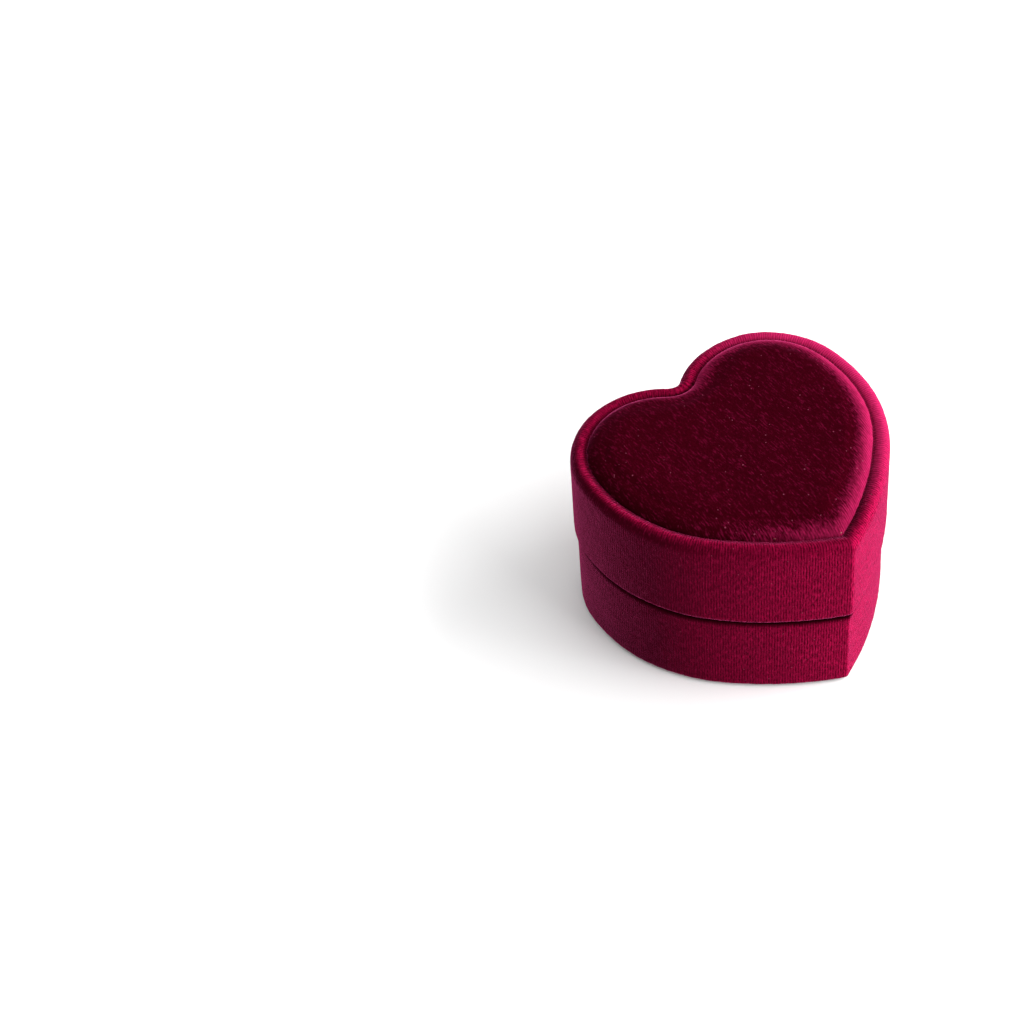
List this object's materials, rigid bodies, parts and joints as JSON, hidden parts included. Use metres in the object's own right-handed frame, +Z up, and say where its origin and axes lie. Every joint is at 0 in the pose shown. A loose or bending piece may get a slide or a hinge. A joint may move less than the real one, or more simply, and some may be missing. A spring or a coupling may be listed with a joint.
{
  "type": "trinket box",
  "caption": "Heart-shaped velvet trinket box: base and hinged lid of equal height, a padded inset top, and a slotted ring pad inside.",
  "frame": {"origin": "centre of the footprint, hinge included, on the surface the box stands on", "axes": "+Z up, +Y towards the hinge at the heart's cleft, -Y towards its tip, +X to the right seen from the tip"},
  "size_m": [0.052, 0.0516, 0.0344],
  "materials": {
    "velvet": "matte",
    "satin": "satin",
    "shell_plastic": "matte",
    "base_paper": "matte",
    "card": "matte",
    "foam": "matte",
    "hinge_steel": "satin",
    "spring_steel": "satin"
  },
  "bodies": {
    "base": {"base_shell": "shell_plastic", "base_wrap": "velvet", "base_sheet": "base_paper", "base_lining": "velvet", "insert_board": "card", "insert_foam": "foam", "insert_cover": "velvet", "hinge_base_leaf": "hinge_steel", "hinge_pin": "hinge_steel", "hinge_spring": "spring_steel", "base_rivets": "hinge_steel"},
    "lid": {"lid_shell": "shell_plastic", "lid_wrap": "velvet", "lid_lining": "satin", "lid_pad_board": "card", "lid_pad_foam": "foam", "lid_pad_satin": "satin", "top_board": "card", "top_foam": "foam", "top_cover": "velvet", "hinge_lid_leaf": "hinge_steel", "lid_rivets": "hinge_steel"}
  },
  "joints": [
    {"name": "lid_hinge", "type": "hinge", "parent": "base", "child": "lid", "pos_m": [0, 0.02449, 0.0164], "axis": [-1, 0, 0], "range_deg": [0, 100]}
  ]
}
